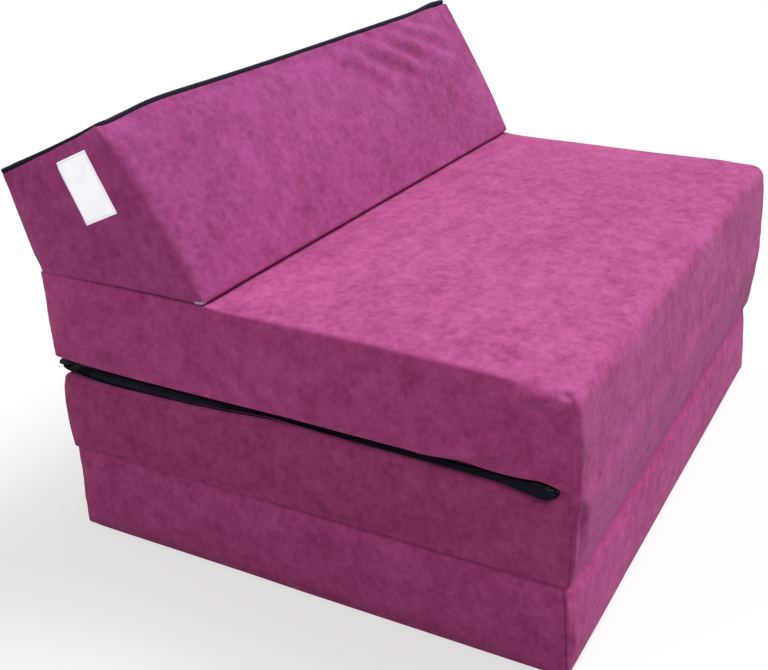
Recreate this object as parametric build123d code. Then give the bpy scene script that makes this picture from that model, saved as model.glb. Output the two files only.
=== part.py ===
from build123d import *

import os
from collections import namedtuple
from math import cos, hypot, radians, sin

# Folding chair bed: three equal foam blocks in zipped covers, folded in a Z, with a wedge backrest on top.
# Millimetres, Z up, X across the width, and the seat's front towards -Y.
# The origin is the centre of the underside of the base block.

# Folded stack
bed_width = 700
segment_depth = 610
segment_thickness = 108
layer_clearance = 0.3
fold_clearance = 0.3

# Softness of the blocks: how far their faces bow and lean, and how round their edges are
end_bow = 4
plan_bow = 3
base_front_bow = 4
fold_lean = 4
front_overhang = 9
front_panel_bow = 2
seat_back_bow = 2
seat_crown_drop = 7
seat_crown_bow = 3
edge_rounding = 7
fold_edge_rounding = 5
seat_top_rounding = 14
corner_rounding = 12
end_rise = 0.3

# Backrest wedge
backrest_foot_depth = 223
backrest_zip_face = 168
backrest_slope_degrees = 29.2
backrest_front_bow = 5
backrest_back_bow = 3
backrest_edge_rounding = 6

# Cloth, foam and the welts that join the covers along the fold lines
cover_cloth = 1.2
foam_clearance = 0.3
welt_clearance = 0.3

# Zips: the recess that they lie in, two tapes, a row of coil on each, and end stops
zip_lap = 4.5
zip_window = 9
zip_mouth_margin = 21
backrest_mouth_margin = 14
base_zip_recess = 5
middle_zip_recess = 8
seat_zip_recess = 2
backrest_zip_recess = 5
tape_lap = 3
tape_thickness = 0.8
coil_width = 2.2
coil_height = 2
coil_rounding = 0.7
coil_gap = 1.2
stop_length = 3
stop_height = 2.5

# Zip slider and its pull
slider_length = 11
slider_plate = 1
slider_flange = 1
slider_clearance = 0.3
slider_corner_rounding = 2.2
bridge_thickness = 0.6
bridge_length = 4
bail_width = 1.6
bail_thickness = 0.8
bail_opening_length = 4
bail_opening_height = 1.5
pull_length = 20
pull_width = 7
pull_thickness = 0.9
pull_eye_width = 2.6
pull_eye_length = 4
pull_tip_rounding = 2.5

# Care label on the backrest's left end
label_width = 47
label_height = 67
label_thickness = 0.4
label_tilt_degrees = 24
label_from_foot = 130
label_above_seat = 107

# Extra length of everything that cuts through
overrun = 5

# Sizes that follow from the ones above
cover_half_width = bed_width / 2
end_half_width = cover_half_width - end_bow
plan_half_width = cover_half_width - plan_bow
block_half_depth = segment_depth / 2
block_height = segment_thickness - layer_clearance
fold_front = -block_half_depth - front_overhang
zip_recess_width = zip_window + 2 * zip_lap
zip_centre = zip_lap + zip_window / 2
slider_half_width = coil_width + coil_gap / 2 + slider_clearance + slider_flange
form_reach = bed_width + segment_depth

slope = radians(backrest_slope_degrees)
seat_top = 3 * segment_thickness
foot = Vector(0, block_half_depth - backrest_foot_depth, seat_top)
backrest_front_face = segment_thickness + backrest_foot_depth * sin(slope)
peak = foot + Vector(0, sin(slope), cos(slope)) * backrest_front_face
back_top = peak + Vector(0, cos(slope), -sin(slope)) * backrest_zip_face

# The welts fill the grooves between rounded fold edges, and the wedge's hinge corner is as round as its angle needs
fold_reach = hypot(fold_edge_rounding + fold_clearance, fold_edge_rounding + layer_clearance / 2)
welt_radius = fold_reach - fold_edge_rounding - welt_clearance
hinge = Vector(0, block_half_depth, seat_top)
hinge_half_angle = radians((foot - hinge).get_angle(back_top - hinge)) / 2
backrest_fold_rounding = (welt_radius + welt_clearance) / (1 / sin(hinge_half_angle) - 1)

# One zip: the plane of the face it closes, the edge it runs along at its closed side, its open end and its recess
Zip = namedtuple("Zip", "plane closed_edge mouth_edge recess mouth_side")


def bowed_side(start, end, bow):
    """Line from start to end, or an arc that bows out to the right of the way along it."""
    if not bow:
        return Line(start, end)
    along = Vector(*end) - Vector(*start)
    middle = (Vector(*start) + Vector(*end)) / 2
    outwards = Vector(along.Y, -along.X).normalized()
    return ThreePointArc(start, middle + outwards * bow, end)


def outline(corners, bows, roundings):
    """Closed face through the corners, counterclockwise, with bowed sides and rounded corners."""
    ends = corners[1:] + corners[:1]
    sides = [bowed_side(start, end, bow) for start, end, bow in zip(corners, ends, bows)]
    face = make_face(sides)
    for corner, rounding in zip(corners, roundings):
        if rounding:
            vertex = face.vertices().sort_by_distance(Vector(*corner))[0]
            face = fillet(vertex, rounding)
    return face


def cushion(outlines, inset=0):
    """Solid that fills all its outlines at once, each drawn in by inset."""
    solid = None
    for plane, face in outlines:
        drawn = offset(face, amount=-inset) if inset else face
        prism = extrude(plane * drawn, amount=form_reach, both=True)
        solid = prism if solid is None else solid & prism
    return solid


def block(low, high):
    """Box between two opposite corners."""
    size = Vector(*high) - Vector(*low)
    centre = (Vector(*low) + Vector(*high)) / 2
    return Pos(centre) * Box(size.X, size.Y, size.Z)


def end_outline(bottom, top, bottom_rounding, top_rounding):
    """Outline of a block seen from the front, with bowed ends that run just past its top and bottom."""
    low = bottom - end_rise
    high = top + end_rise
    corners = [(-end_half_width, low), (end_half_width, low), (end_half_width, high), (-end_half_width, high)]
    roundings = [bottom_rounding, bottom_rounding, top_rounding, top_rounding]
    return Plane.XZ, outline(corners, [0, end_bow, 0, end_bow], roundings)


def plan_outline(plane, front, back, roundings):
    """Outline of a block seen from above its zip face, with bowed ends."""
    corners = [
        (-plan_half_width, front),
        (plan_half_width, front),
        (plan_half_width, back),
        (-plan_half_width, back),
    ]
    return plane, outline(corners, [0, plan_bow, 0, plan_bow], roundings)


def base_outlines():
    """The block on the floor: flat above and below, leaning out to the fold line at the top of its back."""
    corners = [
        (-block_half_depth + base_front_bow, 0),
        (block_half_depth - fold_lean, 0),
        (block_half_depth, block_height),
        (-block_half_depth + base_front_bow, block_height),
    ]
    roundings = [edge_rounding, edge_rounding, fold_edge_rounding, edge_rounding]
    side = Plane.YZ, outline(corners, [0, 0, 0, base_front_bow], roundings)
    end = end_outline(0, block_height, edge_rounding, edge_rounding)
    plan = plan_outline(Plane.XY, -block_half_depth, block_half_depth, [corner_rounding] * 4)
    return [side, end, plan]


def middle_outlines():
    """The middle block: fold lines at the bottom of its back and the top of its front."""
    bottom = segment_thickness
    top = segment_thickness + block_height
    corners = [
        (-block_half_depth, bottom),
        (block_half_depth, bottom),
        (block_half_depth - fold_lean, top),
        (fold_front, top),
    ]
    roundings = [edge_rounding, fold_edge_rounding, edge_rounding, fold_edge_rounding]
    side = Plane.YZ, outline(corners, [0, 0, 0, front_panel_bow], roundings)
    end = end_outline(bottom, top, edge_rounding, edge_rounding)
    plan = plan_outline(Plane.XY, fold_front, block_half_depth, [corner_rounding] * 4)
    return [side, end, plan]


def seat_outlines():
    """The seat block: flat under the backrest, and crowned from its foot to the front edge."""
    bottom = 2 * segment_thickness
    top = bottom + block_height
    corners = [
        (fold_front, bottom),
        (block_half_depth, bottom),
        (block_half_depth, top),
        (foot.Y, top),
        (-block_half_depth, top - seat_crown_drop),
    ]
    bows = [0, seat_back_bow, 0, seat_crown_bow, front_panel_bow]
    roundings = [fold_edge_rounding, edge_rounding, fold_edge_rounding, 0, seat_top_rounding]
    side = Plane.YZ, outline(corners, bows, roundings)
    end = end_outline(bottom, top, edge_rounding, seat_top_rounding)
    back = block_half_depth + seat_back_bow
    plan = plan_outline(Plane.XY, fold_front, back, [corner_rounding] * 4)
    return [side, end, plan]


def backrest_outlines():
    """The wedge: its zip face slopes down to the back, square to its front face."""
    corners = [(foot.Y, foot.Z), (block_half_depth, seat_top), (back_top.Y, back_top.Z), (peak.Y, peak.Z)]
    roundings = [fold_edge_rounding, backrest_fold_rounding, backrest_edge_rounding, backrest_edge_rounding]
    side = Plane.YZ, outline(corners, [0, backrest_back_bow, 0, backrest_front_bow], roundings)
    end = end_outline(seat_top, peak.Z, edge_rounding, corner_rounding)
    front = backrest_zip_face / 2 + backrest_front_bow
    plan = plan_outline(backrest_zip.plane, -segment_depth, front, [corner_rounding] * 4)
    return [side, end, plan]


def zip_band(zipper, outer, inner, low, high, mouth=0):
    """U-shaped band along three edges of the zip face, between two distances in from them."""
    mouth_edge = zipper.mouth_edge + mouth
    whole = block(
        (-end_half_width + outer, mouth_edge, low),
        (end_half_width - outer, zipper.closed_edge - outer, high),
    )
    core = block(
        (-end_half_width + inner, mouth_edge - overrun, low - overrun),
        (end_half_width - inner, zipper.closed_edge - inner, high + overrun),
    )
    return whole - core


def zip_recess(zipper, growth=0):
    """The step in the block's edge that the zip lies in, open to the sides, as the cover's outer face bounds it."""
    outside = -end_bow - plan_bow - overrun
    floor = -zipper.recess - growth
    return zip_band(zipper, outside, zip_recess_width + growth, floor, overrun, -growth)


def tape_top(zipper):
    """Height of the tapes' upper face over the zip face, which is just under the cloth."""
    return -zipper.recess - cover_cloth


def zip_tapes(zipper):
    """Two woven tapes, one each side of the gap between the coils, lapped under the cloth."""
    top = tape_top(zipper)
    bottom = top - tape_thickness
    outer = zip_lap - tape_lap
    inner = zip_lap + zip_window + tape_lap
    outer_tape = zip_band(zipper, outer, zip_centre - coil_gap / 2, bottom, top)
    inner_tape = zip_band(zipper, zip_centre + coil_gap / 2, inner, bottom, top)
    return [outer_tape, inner_tape]


def zip_coils(zipper):
    """The two rows of coil on the tapes, with their upper edges rounded."""
    bottom = tape_top(zipper)
    top = bottom + coil_height
    mouth = zip_lap + stop_length
    rows = []
    for near, far in ((-coil_gap / 2 - coil_width, -coil_gap / 2), (coil_gap / 2, coil_gap / 2 + coil_width)):
        row = zip_band(zipper, zip_centre + near, zip_centre + far, bottom, top, mouth)
        crest = row.faces().sort_by(Axis.Z)[-1]
        rows.append(fillet(crest.edges(), coil_rounding))
    return rows


def zip_stops(zipper):
    """Moulded stops over both ends of the coils."""
    bottom = tape_top(zipper)
    half_width = coil_gap / 2 + coil_width
    centre = end_half_width - zip_centre
    near = zipper.mouth_edge + zip_lap
    stops = []
    for across in (-centre, centre):
        low = (across - half_width, near, bottom)
        high = (across + half_width, near + stop_length, bottom + stop_height)
        stops.append(block(low, high))
    return stops


def cover(outlines, zipper):
    """Cloth shell round the block, with the slot that shows the coils and the pocket that the tapes lie in."""
    outside = cushion(outlines) - zipper.plane * zip_recess(zipper)
    cavity = cushion(outlines, cover_cloth) - zipper.plane * zip_recess(zipper, cover_cloth + tape_thickness)
    slot_low = -zipper.recess - cover_cloth - tape_thickness
    slot = zip_band(zipper, zip_lap, zip_lap + zip_window, slot_low, overrun, zip_lap)
    shell = outside - cavity - zipper.plane * slot
    for tape in zip_tapes(zipper):
        shell = shell - zipper.plane * tape
    return shell


def foam(outlines, zipper):
    """Foam block inside the cover, with its edge eased along the zip for the slider's lower plate."""
    slider_room = cover_cloth + tape_thickness + slider_clearance + slider_plate + foam_clearance
    return cushion(outlines, cover_cloth + foam_clearance) - zipper.plane * zip_recess(zipper, slider_room)


def slider_plate_outline(bottom, top):
    """One plate of the slider, rounded at its corners."""
    half_length = slider_length / 2
    plate = block((-slider_half_width, -half_length, bottom), (slider_half_width, half_length, top))
    return fillet(plate.edges().filter_by(Axis.Z), slider_corner_rounding)


def slider_top():
    """Height of the slider's upper plate over the tapes."""
    return coil_height + slider_clearance + slider_plate


def zip_slider():
    """Slider round its own centre, at the tapes' upper face: two plates, flanges, bridge and bail."""
    half_length = slider_length / 2
    inside_width = slider_half_width - slider_flange
    top = slider_top()
    upper = slider_plate_outline(slider_clearance, top)
    channel_low = (-inside_width, -half_length - overrun, 0)
    channel_high = (inside_width, half_length + overrun, coil_height + slider_clearance)
    upper = upper - block(channel_low, channel_high)
    lower_top = -tape_thickness - slider_clearance
    lower = slider_plate_outline(lower_top - slider_plate, lower_top)
    bridge = block(
        (-bridge_thickness / 2, -half_length + slider_corner_rounding, lower_top),
        (bridge_thickness / 2, -half_length + slider_corner_rounding + bridge_length, top - slider_plate),
    )
    half_opening = bail_opening_length / 2
    bail_end = half_opening + bail_thickness
    bail_high = top + bail_opening_height + bail_thickness
    bail = block((-bail_width / 2, -bail_end, top), (bail_width / 2, bail_end, bail_high))
    opening = block(
        (-bail_width, -half_opening, top),
        (bail_width, half_opening, top + bail_opening_height),
    )
    bail_edges = bail.edges().filter_by(Axis.X).group_by(Axis.Z)[-1]
    bail = fillet(bail_edges, bail_thickness / 2) - opening
    return upper + lower + bridge + bail


def zip_pull():
    """Pull lying on the slider: a tab with an eye round the bail's far post, and a bar under the bail."""
    middle = slider_top() + bail_opening_height / 2
    half_bar = pull_thickness / 2
    tab = block(
        (-pull_width / 2, -half_bar, middle - half_bar),
        (pull_width / 2, pull_length, middle + half_bar),
    )
    tip_edges = tab.edges().filter_by(Axis.Z).group_by(Axis.Y)[-1]
    tab = fillet(tip_edges, pull_tip_rounding)
    eye = block(
        (-pull_eye_width / 2, half_bar, middle - pull_thickness),
        (pull_eye_width / 2, half_bar + pull_eye_length, middle + pull_thickness),
    )
    return tab - eye


def slider_place(zipper):
    """Where the slider rests, against the stop at the open end of its zip."""
    along = zipper.mouth_edge + zip_lap + stop_length + slider_clearance + slider_length / 2
    across = zipper.mouth_side * (end_half_width - zip_centre)
    return zipper.plane * Pos(across, along, tape_top(zipper))


def fold_welt(along_depth, height):
    """Round welt of cover cloth that joins two covers along a fold line."""
    length = 2 * (end_half_width - corner_rounding)
    return Pos(0, along_depth, height) * Rot(0, 90, 0) * Cylinder(welt_radius, length)


def care_label(outlines):
    """Woven label that follows the backrest's left end, tilted with its front face."""
    skin = cushion(outlines, -label_thickness) - cushion(outlines)
    tilt = Rot(Z=-label_tilt_degrees)
    patch = Pos(foot.Y + label_from_foot, seat_top + label_above_seat) * tilt * Rectangle(label_width, label_height)
    left_end = extrude(Plane.YZ * patch, amount=-form_reach)
    return skin & left_end


base_zip = Zip(
    Plane(origin=(0, 0, 0), x_dir=(-1, 0, 0), z_dir=(0, 0, -1)),
    block_half_depth - fold_lean,
    -block_half_depth + base_front_bow + zip_mouth_margin,
    base_zip_recess,
    -1,
)
middle_zip = Zip(
    Plane(origin=(0, 0, 2 * segment_thickness - layer_clearance), x_dir=(1, 0, 0), z_dir=(0, 0, 1)),
    block_half_depth - fold_lean,
    fold_front + zip_mouth_margin,
    middle_zip_recess,
    -1,
)
seat_zip = Zip(
    Plane(origin=(0, 0, 2 * segment_thickness), x_dir=(-1, 0, 0), z_dir=(0, 0, -1)),
    block_half_depth,
    fold_front + zip_mouth_margin,
    seat_zip_recess,
    -1,
)
backrest_zip = Zip(
    Plane(origin=(peak + back_top) / 2, x_dir=(-1, 0, 0), z_dir=(0, sin(slope), cos(slope))),
    backrest_zip_face / 2,
    -backrest_zip_face / 2 + backrest_mouth_margin,
    backrest_zip_recess,
    -1,
)


def write_node(name, *solids):
    """Write one named node of one or more separate solids."""
    node = Compound(label=name, children=[solid for part in solids for solid in part.solids()])
    export_step(node, f"parts/{name}.step")


def write_segment(name, outlines, zipper):
    """Write a block's foam, cover, zip tapes, coils, stops, slider and pull."""
    write_node(f"{name}_foam", foam(outlines, zipper))
    write_node(f"{name}_cover", cover(outlines, zipper))
    write_node(f"{name}_zip_tapes", *[zipper.plane * tape for tape in zip_tapes(zipper)])
    write_node(f"{name}_zip_coils", *[zipper.plane * row for row in zip_coils(zipper)])
    write_node(f"{name}_zip_stops", *[zipper.plane * stop for stop in zip_stops(zipper)])
    place = slider_place(zipper)
    write_node(f"{name}_zip_slider", place * zip_slider())
    write_node(f"{name}_zip_pull", place * zip_pull())


os.makedirs("parts", exist_ok=True)

write_segment("base", base_outlines(), base_zip)
write_segment("middle", middle_outlines(), middle_zip)
write_segment("seat", seat_outlines(), seat_zip)
write_segment("backrest", backrest_outlines(), backrest_zip)

rear_fold_height = segment_thickness - layer_clearance / 2
front_fold_height = 2 * segment_thickness - layer_clearance / 2
backrest_fold_height = seat_top - layer_clearance / 2
write_node("rear_fold_welt", fold_welt(block_half_depth + fold_clearance, rear_fold_height))
write_node("front_fold_welt", fold_welt(fold_front - fold_clearance, front_fold_height))
write_node("backrest_fold_welt", fold_welt(block_half_depth + fold_clearance, backrest_fold_height))
write_node("care_label", care_label(backrest_outlines()))
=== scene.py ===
import math
from collections import namedtuple

import bmesh
import bpy
import numpy as np
from mathutils import Matrix, Vector, noise
from mathutils.bvhtree import BVHTree


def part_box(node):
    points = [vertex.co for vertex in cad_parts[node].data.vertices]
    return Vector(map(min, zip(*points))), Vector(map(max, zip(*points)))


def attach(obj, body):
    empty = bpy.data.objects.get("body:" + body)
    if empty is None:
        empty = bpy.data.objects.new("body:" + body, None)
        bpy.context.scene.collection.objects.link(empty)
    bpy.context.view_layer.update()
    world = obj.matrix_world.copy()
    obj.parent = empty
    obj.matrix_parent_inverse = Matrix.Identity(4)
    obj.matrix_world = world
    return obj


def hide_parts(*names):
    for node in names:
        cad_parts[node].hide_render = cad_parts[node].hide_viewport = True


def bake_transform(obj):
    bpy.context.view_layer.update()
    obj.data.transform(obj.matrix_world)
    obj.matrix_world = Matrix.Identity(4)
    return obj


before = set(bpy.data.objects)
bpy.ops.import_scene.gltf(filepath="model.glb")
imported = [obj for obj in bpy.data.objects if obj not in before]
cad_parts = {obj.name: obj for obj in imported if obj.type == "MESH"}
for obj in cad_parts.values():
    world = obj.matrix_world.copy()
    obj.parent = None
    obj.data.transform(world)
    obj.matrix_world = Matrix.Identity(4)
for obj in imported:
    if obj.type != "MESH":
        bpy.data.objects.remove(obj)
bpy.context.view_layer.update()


# The base block lies on the floor and carries the other two.
# It is foam in a cover of brushed suede cloth, cut as one cross whose sides fold down and are sewn together at
# the four upright corners. A zip joins the last face to it round three sides.

half_width, block_back, block_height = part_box("base_cover")[1]
fold_lean = 0.004
base_front = -0.301
base_toe = -0.305
base_heel = 0.004
seam_rows = (0, 0.0012, 0.0032, 0.006, 0.0095, 0.014, 0.021)
soft_edge = 0.05
cloth_cell = 0.0105
tiny = 0.0001
lying_edge = 0.009
draw_in = 0.0006
most_out = 0.003
most_in = 0.0005
inflate_steps = 20
cloth_pressure = 4
cloth_stiffness = 8
front_turn = 0.02
back_turn = (0.5, 0.64)
upright_turn = (0.4, 0.6)
corner_blend = (0.008, 0.03)
end_facing = (0.5, 0.85)
fold_trough, trough_place, trough_width = 0.45, 1.7, 0.8
fine_relief = 0.0002

groove_depth = groove_width = 0.0011
ridge_height, ridge_place, ridge_width = 0.0005, 0.0042, 0.0024
pucker_height, pucker_reach, pucker_size = 0.0007, 0.012, 0.011
pull_height, pull_reach, pull_size = 0.0011, 0.045, 0.035
wave_height, wave_size = 0.0011, 0.11

zip_edge = half_width - 0.004
zip_lap = 0.0045
zip_window = 0.009
zip_bank = 0.001
zip_slack_bank = 0.004
zip_channel = 0.0022
zip_step = 0.018
zip_mouth_margin = 0.021
cut_gap = 0.0004
cut_reach, cut_depth = 0.03, 0.01
slot_turn = 0.0003
face_depth = 0.035
channel_depth = 0.004
base_recess = 0.005
base_lip = 0.0006
base_dent = 0.0026
dent_reach = 0.012

Panel = namedtuple("Panel", "corners bows widths low high upright seam")
Zip = namedtuple("Zip", "name face closed mouth recess lip bank")


def shader_sum(operation, reflected=False):
    """Operator that adds one Math node, with its two terms in order or reflected."""

    def sum_of(self, other):
        return self.worked(operation, *((other, self) if reflected else (self, other)))

    return sum_of


class Amount:
    """A value that varies over a finish. A sum on it adds the Math nodes that work it out."""

    __add__, __radd__ = shader_sum("ADD"), shader_sum("ADD", True)
    __sub__, __rsub__ = shader_sum("SUBTRACT"), shader_sum("SUBTRACT", True)
    __mul__, __rmul__ = shader_sum("MULTIPLY"), shader_sum("MULTIPLY", True)

    def __init__(self, finish, socket):
        self.finish = finish
        self.socket = socket

    def worked(self, operation, *terms):
        return self.finish.node("ShaderNodeMath", {"operation": operation}, dict(enumerate(terms)))

    def sine(self):
        return self.worked("SINE", self)


class Finish:
    """A material, built from nodes that one method makes."""

    def __init__(self, name, **constants):
        self.material = bpy.data.materials.new(name)
        self.material.use_nodes = True
        self.tree = self.material.node_tree
        self.shader = self.tree.nodes["Principled BSDF"]
        for socket, value in constants.items():
            self.shader.inputs[socket.replace("_", " ")].default_value = value

    def node(self, kind, settings, inputs, output=0):
        """Add a node: its settings first, then the values or links of its inputs."""
        node = self.tree.nodes.new(kind)
        for setting, value in settings.items():
            if setting == "stops":
                self.set_stops(node.color_ramp, value)
            else:
                setattr(node, setting, value)
        for place, value in inputs.items():
            self.feed(node.inputs[place], value)
        return Amount(self, node.outputs[output])

    def feed(self, socket, value):
        """Link an amount to a socket, or set the socket to a plain value."""
        if isinstance(value, Amount):
            self.tree.links.new(value.socket, socket)
        else:
            socket.default_value = value

    def set_stops(self, ramp, stops):
        while len(ramp.elements) < len(stops):
            ramp.elements.new(0.5)
        for element, (place, colour) in zip(ramp.elements, stops):
            element.position = place
            element.color = (*colour, 1)

    def places(self):
        return self.node("ShaderNodeTexCoord", {}, {}, "Object")

    def noted(self, name):
        return self.node("ShaderNodeAttribute", {"attribute_name": name}, {}, "Fac")

    def lengths(self):
        """Distances along a strip of cloth and across it."""
        where = self.node("ShaderNodeUVMap", {"uv_map": "UVMap"}, {})
        split = self.node("ShaderNodeSeparateXYZ", {}, {0: where})
        return [Amount(self, split.socket.node.outputs[axis]) for axis in range(2)]

    def cloud(self, where, scale, detail=3.0, roughness=0.55, distortion=0.0):
        """Soft random patches; scale is how many there are in a metre."""
        inputs = {"Vector": where, "Scale": scale, "Detail": detail, "Roughness": roughness, "Distortion": distortion}
        return self.node("ShaderNodeTexNoise", {}, inputs)

    def eased(self, amount, *limits):
        """One value up to a first limit, another past a second, and an even turn between them."""
        settings = {"interpolation_type": "SMOOTHSTEP"}
        return self.node("ShaderNodeMapRange", settings, dict(enumerate((amount, *limits))))

    def ramp(self, amount, stops):
        return self.node("ShaderNodeValToRGB", {"stops": stops}, {0: amount})

    def mixed(self, share, first, second, blend="MIX"):
        """Colour between two others."""
        settings = {"data_type": "RGBA", "blend_type": blend}
        return self.node("ShaderNodeMix", settings, {0: share, 6: first, 7: second}, 2)

    def bump(self, height, strength, depth, normal=None):
        inputs = {"Height": height, "Strength": strength, "Distance": depth}
        if normal:
            inputs["Normal"] = normal
        return self.node("ShaderNodeBump", {}, inputs)

    def finish(self, **links):
        for socket, amount in links.items():
            self.feed(self.shader.inputs[socket.replace("_", " ")], amount)
        return self.material


def dye(red, green, blue):
    """Colour as a screen shows it, 0 to 255, turned into the renderer's light values."""
    shares = [value / 255 for value in (red, green, blue)]
    return tuple(share / 12.92 if share < 0.04045 else ((share + 0.055) / 1.055) ** 2.4 for share in shares)


def suede(name, face_painted_light, end_painted_light):
    """Brushed suede cloth: short nap lying in patches and dabs. Each panel's nap lies its own way; the face and end
    tones paint that, with the light and shade of each side, into the colour, and a darker line along each seam is
    painted shade in its groove.
    """
    cloth = Finish(name, Sheen_Weight=0.1, Sheen_Roughness=0.5, Sheen_Tint=(1, 0.66, 0.93, 1), IOR=1.35)
    where = cloth.places()
    patches = cloth.cloud(where, 11, 2, 0.5)
    strokes = cloth.cloud(where, 46, 4, 0.6, 0.2)
    dabs = cloth.cloud(where, 120, 4, 0.66, 0.2)
    fibres = cloth.cloud(where, 1300, 2, 0.7)
    end = cloth.noted("end")
    nap = patches * 0.2 + strokes * 0.42 + dabs * 0.38
    nap = (nap - 0.5) * (0.88 - end * 0.08) + 0.5
    colour = cloth.ramp(nap, [(0.38, dye(165, 60, 120)), (0.5, dye(193, 83, 147)), (0.62, dye(211, 102, 167))])
    # The face and end tones paint light and shade into the colour: how light each block's faces and ends read, with
    # the shading of each panel's nap.
    painted_light = cloth.mixed(end, (*face_painted_light, 1), (*end_painted_light, 1))
    colour = cloth.mixed(1.0, colour, painted_light, "MULTIPLY")
    # A darker line along each seam is painted shade in the seam's groove.
    stitch_line_and_seam_shade = cloth.eased(cloth.noted("seam"), 0.0, 0.0018, 0.45, 0.0)
    colour = cloth.mixed(stitch_line_and_seam_shade, colour, (*dye(70, 20, 50), 1))
    ruffle = cloth.bump(fibres * 0.5 + dabs * 0.5, 0.25, 0.0008)
    brushed = cloth.bump(strokes, 0.22, 0.003, ruffle)
    return cloth.finish(Base_Color=colour, Roughness=strokes * 0.2 + 0.78, Normal=brushed)


def deselect():
    """Leave nothing selected or being edited."""
    if bpy.context.object and bpy.context.object.mode != "OBJECT":
        bpy.ops.object.mode_set(mode="OBJECT")
    bpy.ops.object.select_all(action="DESELECT")


def choose(piece):
    """Make one piece the only one selected."""
    deselect()
    piece.select_set(True)
    bpy.context.view_layer.objects.active = piece


def edit_all():
    """Open the chosen piece for editing, with all of it selected."""
    bpy.ops.object.mode_set(mode="EDIT")
    bpy.ops.mesh.select_all(action="SELECT")


def paint(piece, material):
    """Give a piece its one material."""
    piece.data.materials.clear()
    piece.data.materials.append(material)


def coat(piece, material):
    """Paint a piece with its one material."""
    paint(piece, material)


def points_of(piece):
    """Places of a piece's vertices."""
    places = np.zeros(len(piece.data.vertices) * 3)
    piece.data.vertices.foreach_get("co", places)
    return places.reshape(-1, 3)


def normals_of(piece):
    """Outward directions of a piece's surface at its vertices."""
    directions = np.zeros(len(piece.data.vertices) * 3)
    piece.data.vertex_normals.foreach_get("vector", directions)
    return directions.reshape(-1, 3)


def move_points(piece, places):
    """Put a piece's vertices at new places."""
    piece.data.vertices.foreach_set("co", places.ravel())
    piece.data.update()


def note_values(piece, name, values):
    """Keep a value for each vertex, which cutting and smoothing carry along."""
    noted = piece.data.attributes.new(name, "FLOAT", "POINT")
    noted.data.foreach_set("value", values.astype(np.float32))


def noted_values(piece, name):
    """Values that note_values kept."""
    values = np.zeros(len(piece.data.vertices), np.float32)
    piece.data.attributes[name].data.foreach_get("value", values)
    return values.astype(float)


def smooth_step(values, start, end):
    """0 before start, 1 after end, and an even turn between them."""
    shares = np.clip((values - start) / (end - start), 0, 1)
    return shares * shares * (3 - 2 * shares)


def note_end(piece):
    """Keep for each vertex how far it faces one of the bed's ends, where the nap lies another way and the cloth's
    colour takes its painted light and shade.
    """
    note_values(piece, "end", smooth_step(np.abs(normals_of(piece)[:, 0]), *end_facing))


def wave(points, size, seed):
    """Slow change over a surface, between about -1 and 1, repeating about every size metres."""
    shift = Vector((seed, 2 * seed, 3 * seed))
    return np.array([noise.noise(Vector(point) / size + shift) for point in points])


def row_places(length):
    """Places of the rows of cloth cells along one side, close together at its ends."""
    inner = length - 2 * seam_rows[-1]
    count = max(2, round(inner / cloth_cell))
    middle = [seam_rows[-1] + inner * step / count for step in range(1, count)]
    return np.array([*seam_rows, *middle, *[length - place for place in reversed(seam_rows)]])


def cut_cells(block, counts):
    """Divide a cube into rows of cells, the same number on all its edges along one axis."""
    bpy.ops.object.mode_set(mode="EDIT")
    bpy.ops.mesh.select_mode(type="EDGE")
    for axis, count in enumerate(counts):
        bpy.ops.mesh.select_all(action="DESELECT")
        mesh = bmesh.from_edit_mesh(block.data)
        for edge in mesh.edges:
            along = edge.verts[0].co - edge.verts[1].co
            edge.select_set(abs(along[axis]) > 0.9 * along.length)
        bmesh.update_edit_mesh(block.data)
        bpy.ops.mesh.subdivide(number_cuts=count - 1)
    bpy.ops.object.mode_set(mode="OBJECT")


def panel_point(corners, distances, lengths):
    """Points of a block at distances across it, along its end panel and up it."""
    along = (distances[:, 1] / lengths[1])[:, None]
    up = (distances[:, 2] / lengths[2])[:, None]
    corners = [np.array((0, *corner)) for corner in corners]
    low = corners[0] * (1 - along) + corners[1] * along
    high = corners[3] * (1 - along) + corners[2] * along
    points = low * (1 - up) + high * up
    points[:, 0] = distances[:, 0] - half_width
    return points


def blend_values(front, ends, back, along, depth):
    """Values from a block's front edge, over its ends, to its back edge."""
    past_front = smooth_step(along * depth, front_turn, front_turn + soft_edge)
    near_back = smooth_step(along, *back_turn)
    return front + (ends - front) * past_front + (back - ends) * near_back


def roundings_of(panel, away_up, across, along, up, depth):
    """Rounding of a block's edges near each point."""
    low = blend_values(*panel.low, along, depth)
    high = blend_values(*panel.high, along, depth)
    level = np.where(up < 0.5, low, high)
    front = np.where(across < 0.5, panel.upright[0], panel.upright[1])
    upright = front + (panel.upright[2] - front) * smooth_step(along, *upright_turn)
    return level + (upright - level) * smooth_step(away_up, *corner_blend)


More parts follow.
